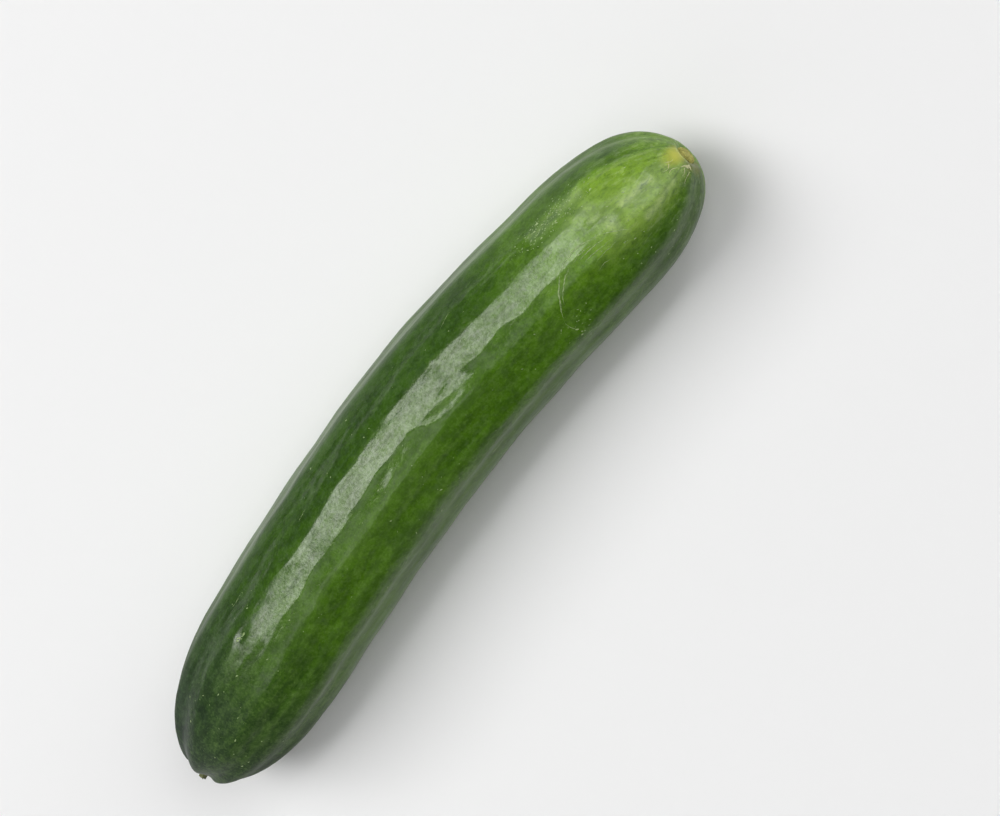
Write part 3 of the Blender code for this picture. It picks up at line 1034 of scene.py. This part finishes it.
def make_stub():
    sizes = {
        "Length": STUB_LENGTH,
        "Base radius": STUB_BASE_RADIUS,
        "Tip radius": STUB_TIP_RADIUS,
        "Sides": STUB_SIDES,
        "Steps": STUB_STEPS,
        "Cap rings": STUB_CAP_RINGS,
    }
    tree, size, exit_node = geometry_tree("Stalk stub", sizes, {"Geometry": "NodeSocketGeometry"})
    drum = Wire.node(
        tree,
        "GeometryNodeMeshCylinder",
        {"fill_type": "TRIANGLE_FAN"},
        {
            "Vertices": size["Sides"],
            "Side Segments": size["Steps"],
            "Fill Segments": size["Cap rings"],
            "Radius": 1.0,
            "Depth": 1.0,
        },
    )
    position = Wire.node(tree, "GeometryNodeInputPosition")
    x = Wire.node(tree, "ShaderNodeSeparateXYZ", None, {"Vector": position})
    y, share = x.also("Y"), x.also("Z") + 0.5
    angle = x.math("ARCTAN2", y, x)
    rim = (x * x + y * y).root()
    ribs = 1.0
    for count, rib_share, winding in STUB_RIBS:
        ribs = (angle * count + share * winding).cos() * rib_share + ribs
    reach = size["Base radius"] + (size["Tip radius"] - size["Base radius"]) * share ** STUB_TAPER
    reach = reach + (1 - share) ** STUB_FOOT_SHARPNESS * STUB_FOOT_FLARE
    tear = noise(vector(tree, x * TEAR_SPREAD, y * TEAR_SPREAD, 0.0), *TEAR_NOISE).sway(TEAR_HEIGHT)
    torn = (tear - (1 - rim * rim) * TEAR_HOLLOW) * share.rise(TEAR_START, 1.0)
    height = size["Length"] * share + torn
    radius = rim * reach * ribs
    bend = share * share * STUB_BEND
    place = vector(tree, radius * angle.cos() + bend, radius * angle.sin(), height)
    moved = Wire.node(tree, "GeometryNodeSetPosition", None, {"Geometry": drum, "Position": place})
    return grown("stalk_stub_fine", exit_node, sizes, moved, make_stub_material())


def set_on(piece, node, way, height):
    """Stands a piece made along Z on the way, so that its middle is the middle of the CAD node's box."""
    low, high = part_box(node)
    middle = (Vector(low) + Vector(high)) / 2
    turn = way.to_track_quat("Z", "Y").to_matrix().to_4x4()
    piece.data.transform(Matrix.Translation(middle - way * height / 2) @ turn)
    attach(piece, "root")
    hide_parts(node)


stub = make_stub()
set_on(stub, "stalk_stub", STALK_WAY, STUB_LENGTH)


# Blossom scar
# Where the flower withered off: an olive-yellow button of cork, grown into the dish of the blossom end.
# Its rim is crumbled, and it has cracked from its middle as it dried.

SCAR_RADIUS, SCAR_THICKNESS, SCAR_ROOT = 0.0027, 0.0007, 0.0009
SCAR_SEGMENTS, SCAR_RINGS = 140, 90
BLOSSOM_WAY = Vector((1, -0.147, 0.155)).normalized()

# Its form: the power that crowds its rings toward the rim, how its top falls off there, its lobes and
# crumbs as shares of the radius, and the raised rim, placed by its share of the way out
SCAR_SPREAD, SCAR_FALL_SHARPNESS, SCAR_FALL = 0.6, 4.0, 0.6
SCAR_LOBES, SCAR_LOBE_SHARE, SCAR_CRUMB_SHARE = 5, 0.10, 0.35
SCAR_RIM_PLACE, SCAR_RIM_WIDTH, SCAR_RIM_HEIGHT = 0.75, 0.20, 0.0003
CRACKS, CRACK_BENDING, CRACK_WIDTH, CRACK_DEPTH, CRACK_START = 7, 2.5, 0.22, 0.00035, (0.1, 0.4)
CRUMB_NOISE, CRUMB_HEIGHT = (5.0, 4.0, 0.65), 0.0007

SCAR_GRAIN, SCAR_GRAIN_RANGE, SCAR_GRAIN_DEPTH = (1800.0, 4.0, 0.65), (0.35, 0.65), 0.00015
SCAR_YELLOWS = (0.320, 0.300, 0.070), (0.530, 0.510, 0.140)
SCAR_ROUGHNESS = 0.8


def make_scar_material():
    material = bpy.data.materials.new("blossom cork")
    material.use_nodes = True
    tree = material.node_tree
    shader = tree.nodes["Principled BSDF"]
    place = Wire.node(tree, "ShaderNodeTexCoord", output="Object")
    grain = noise(place, *SCAR_GRAIN)
    colour = mixed(grain.rise(*SCAR_GRAIN_RANGE), *SCAR_YELLOWS)
    tree.links.new(colour.socket, shader.inputs["Base Color"])
    bump = Wire.node(tree, "ShaderNodeBump", None, {"Distance": SCAR_GRAIN_DEPTH, "Height": grain})
    tree.links.new(bump.socket, shader.inputs["Normal"])
    shader.inputs["Roughness"].default_value = SCAR_ROUGHNESS
    return material


def make_scar():
    sizes = {
        "Radius": SCAR_RADIUS,
        "Thickness": SCAR_THICKNESS,
        "Root": SCAR_ROOT,
        "Segments": SCAR_SEGMENTS,
        "Rings": SCAR_RINGS,
    }
    tree, size, exit_node = geometry_tree("Blossom scar", sizes, {"Geometry": "NodeSocketGeometry"})
    ball = Wire.node(
        tree,
        "GeometryNodeMeshUVSphere",
        None,
        {"Segments": size["Segments"], "Rings": size["Rings"], "Radius": 1.0},
    )
    position = Wire.node(tree, "GeometryNodeInputPosition")
    x = Wire.node(tree, "ShaderNodeSeparateXYZ", None, {"Vector": position})
    y, level = x.also("Y"), x.also("Z")
    angle = x.math("ARCTAN2", y, x)
    outward = (x * x + y * y).root() ** SCAR_SPREAD
    crumbs = noise(vector(tree, x, y, 0.0), *CRUMB_NOISE)
    lobes = (angle * SCAR_LOBES).cos() * SCAR_LOBE_SHARE + crumbs.sway(SCAR_CRUMB_SHARE)
    radius = size["Radius"] * outward * (1 + lobes * outward)
    rim = (-(((outward - SCAR_RIM_PLACE) / SCAR_RIM_WIDTH) ** 2.0)).exp() * SCAR_RIM_HEIGHT
    cracks = abs((angle * (CRACKS / 2) + crumbs * CRACK_BENDING).sin()).fall(0.0, CRACK_WIDTH)
    cracks = cracks * outward.rise(*CRACK_START) * CRACK_DEPTH
    button = size["Thickness"] * (1 - outward ** SCAR_FALL_SHARPNESS * SCAR_FALL)
    top = (button + rim - cracks + crumbs.sway(CRUMB_HEIGHT)) * level.least(0.0).root()
    root = size["Root"] * (-level).least(0.0).root()
    place = vector(tree, radius * angle.cos(), radius * angle.sin(), top - root)
    moved = Wire.node(tree, "GeometryNodeSetPosition", None, {"Geometry": ball, "Position": place})
    return grown("blossom_scar_fine", exit_node, sizes, moved, make_scar_material())


scar = make_scar()
set_on(scar, "blossom_scar", BLOSSOM_WAY, SCAR_THICKNESS)


# Studio
# A pale floor under one soft-box high on the outer side of the bend. Round them stand a dim ceiling,
# paler walls, five pale reflectors and a lit strip, which all show in the wax of the skin.

CAMERA_TILT = math.radians(14.0)
CAMERA_TURN = math.radians(52.58)
CAMERA_DISTANCE = 0.75
METRES_PER_PIXEL = 0.0002774
IMAGE_WIDTH = 1000
SENSOR_MM = 36.0

toward_camera = Vector((math.sin(CAMERA_TILT), 0, math.cos(CAMERA_TILT)))
along_view = Vector((math.cos(CAMERA_TILT), 0, -math.sin(CAMERA_TILT)))
across_view = Vector((0, 1, 0))
picture_right = along_view * math.cos(CAMERA_TURN) - across_view * math.sin(CAMERA_TURN)
picture_up = along_view * math.sin(CAMERA_TURN) + across_view * math.cos(CAMERA_TURN)

# Where the middle of the fruit's box shows in the picture, from its middle, in pixels
FRUIT_RIGHT, FRUIT_UP = -85.5, -46.4
target = (Vector(node_low) + Vector(node_high)) / 2
target = target - (picture_right * FRUIT_RIGHT + picture_up * FRUIT_UP) * METRES_PER_PIXEL

camera_data = bpy.data.cameras.new("camera")
camera_data.sensor_width = SENSOR_MM
camera_data.lens = SENSOR_MM * CAMERA_DISTANCE / (IMAGE_WIDTH * METRES_PER_PIXEL)
camera = bpy.data.objects.new("camera", camera_data)
bpy.context.scene.collection.objects.link(camera)
camera_axes = Matrix((picture_right, picture_up, toward_camera)).transposed().to_4x4()
camera.matrix_world = Matrix.Translation(target + toward_camera * CAMERA_DISTANCE) @ camera_axes
bpy.context.scene.camera = camera

# The soft-box: its diffuser is bowed, and fades out toward both of its ends. Places on it run from -1 to
# 1 along it, and from 0 to 1 across it.
SOFTBOX_DISTANCE = 5.0
SOFTBOX_RADIANCE = 5.5
SOFTBOX_LENGTH, SOFTBOX_HEIGHT = 4.6, 4.4
SOFTBOX_WAY = Vector((-0.105, 0.605, 0.79)).normalized()
DIFFUSER_BOW = 0.16
DIFFUSER_LOW, DIFFUSER_HIGH = 0.06, 0.84
DIFFUSER_EDGE = 0.03
STALK_FADE, BLOSSOM_FADE = (-1.0, -0.55), (-0.25, 0.85)

# What Blender's area light needs, in watts, for one unit of radiance over a square metre
WATTS_PER_RADIANCE = 4

light_data = bpy.data.lights.new("softbox", "AREA")
light_data.shape = "RECTANGLE"
light_data.size = SOFTBOX_LENGTH
light_data.size_y = SOFTBOX_HEIGHT
light_data.energy = SOFTBOX_RADIANCE * WATTS_PER_RADIANCE * SOFTBOX_LENGTH * SOFTBOX_HEIGHT
light_data.use_nodes = True
light_tree = light_data.node_tree
on_diffuser = Wire.node(light_tree, "ShaderNodeNewGeometry", output="Parametric")
from_corner = Wire.node(light_tree, "ShaderNodeSeparateXYZ", None, {"Vector": on_diffuser})
along_diffuser = from_corner * 2 - 1
across_diffuser = from_corner.also("Y") - along_diffuser * along_diffuser * DIFFUSER_BOW
diffuser = along_diffuser.rise(*STALK_FADE) * along_diffuser.fall(*BLOSSOM_FADE)
diffuser = diffuser * across_diffuser.rise(DIFFUSER_LOW - DIFFUSER_EDGE, DIFFUSER_LOW + DIFFUSER_EDGE)
diffuser = diffuser * across_diffuser.fall(DIFFUSER_HIGH - DIFFUSER_EDGE, DIFFUSER_HIGH + DIFFUSER_EDGE)
light_tree.links.new(diffuser.socket, light_tree.nodes["Emission"].inputs["Strength"])

light = bpy.data.objects.new("softbox", light_data)
bpy.context.scene.collection.objects.link(light)
along_fruit = Vector((1, 0, 0))
box_side = (along_fruit - SOFTBOX_WAY * along_fruit.dot(SOFTBOX_WAY)).normalized()
box_axes = Matrix((box_side, SOFTBOX_WAY.cross(box_side), SOFTBOX_WAY)).transposed().to_4x4()
light.matrix_world = Matrix.Translation(SOFTBOX_WAY * SOFTBOX_DISTANCE) @ box_axes

# Pale reflectors: the way to each one, the cosines between which it fades, and its brightness
REFLECTORS = (
    ((0.85, -0.05, 0.52), 0.87, 0.95, 1.2),
    ((-0.85, 0.00, 0.52), 0.87, 0.95, 0.4),
    ((-0.28, -0.07, 0.95), 0.960, 0.985, 1.1),
    ((0.50, 0.12, 0.86), 0.900, 0.990, 1.3),
    ((0.07, 0.29, 0.95), 0.984, 0.997, 0.7),
)

# The room: the brightness of its ceiling and walls, and the heights between which each wall fades into
# the ceiling. A height is the Z of the way there, less a share of its Y.
CEILING, WALLS = 0.06, 0.55
HEIGHT_LEAN = 0.15
OUTER_SIDE = (-0.2, 0.5)
INNER_WALL_TOP = (0.29, 0.34)
OUTER_WALL_TOP, OUTER_WALL_SHARE = (0.26, 0.44), 0.22

# A lit strip high beyond the blossom end, by the Y and X of the way there. It stops above the floor.
STRIP_SIDE, STRIP_HALF_WIDTH, STRIP_EDGE = 0.27, 0.045, 0.025
STRIP_START, STRIP_END, STRIP_FADE = 0.26, 0.74, 0.08
STRIP_FOOT = (0.0, 0.2)
STRIP_BRIGHTNESS = 4.0

world = bpy.data.worlds.new("studio")
world.use_nodes = True
bpy.context.scene.world = world
world_tree = world.node_tree
way = Wire.node(world_tree, "ShaderNodeTexCoord", output="Generated")
way_x = Wire.node(world_tree, "ShaderNodeSeparateXYZ", None, {"Vector": way})
way_y, way_z = way_x.also("Y"), way_x.also("Z")
way_height = way_z - way_y * HEIGHT_LEAN
outer_side = way_y.rise(*OUTER_SIDE)
inner_wall = way_height.fall(*INNER_WALL_TOP) * (1 - outer_side)
outer_wall = way_height.fall(*OUTER_WALL_TOP) * outer_side * OUTER_WALL_SHARE
glow = CEILING + (inner_wall + outer_wall) * WALLS
for reflector_way, faded, full, brightness in REFLECTORS:
    middle_way = tuple(Vector(reflector_way).normalized())
    toward = vector_math("DOT_PRODUCT", way, middle_way).also("Value")
    glow = glow + toward.rise(faded, full) * brightness
strip = abs(way_y - STRIP_SIDE)
strip = strip.fall(STRIP_HALF_WIDTH - STRIP_EDGE, STRIP_HALF_WIDTH + STRIP_EDGE)
strip = strip * way_x.rise(STRIP_START - STRIP_FADE, STRIP_START + STRIP_FADE)
strip = strip * way_x.fall(STRIP_END - STRIP_FADE, STRIP_END + STRIP_FADE)
glow = glow + strip * way_z.rise(*STRIP_FOOT) * STRIP_BRIGHTNESS
world_tree.links.new(glow.socket, world_tree.nodes["Background"].inputs["Strength"])
world_tree.nodes["Background"].inputs["Color"].default_value = (1, 1, 1, 1)

FLOOR_HALF_WIDTH = 4.0
FLOOR_GREY = 0.885
FLOOR_ROUGHNESS = 0.8

floor_data = bpy.data.meshes.new("floor")
corner_signs = ((-1, -1), (1, -1), (1, 1), (-1, 1))
floor_data.from_pydata(
    [(FLOOR_HALF_WIDTH * x, FLOOR_HALF_WIDTH * y, 0) for x, y in corner_signs], [], [(0, 1, 2, 3)]
)
floor = bpy.data.objects.new("floor", floor_data)
bpy.context.scene.collection.objects.link(floor)
floor_material = bpy.data.materials.new("pale floor")
floor_material.use_nodes = True
floor_shader = floor_material.node_tree.nodes["Principled BSDF"]
floor_shader.inputs["Base Color"].default_value = (FLOOR_GREY, FLOOR_GREY, FLOOR_GREY, 1)
floor_shader.inputs["Roughness"].default_value = FLOOR_ROUGHNESS
floor_data.materials.append(floor_material)

bpy.context.scene.view_settings.view_transform = "Standard"
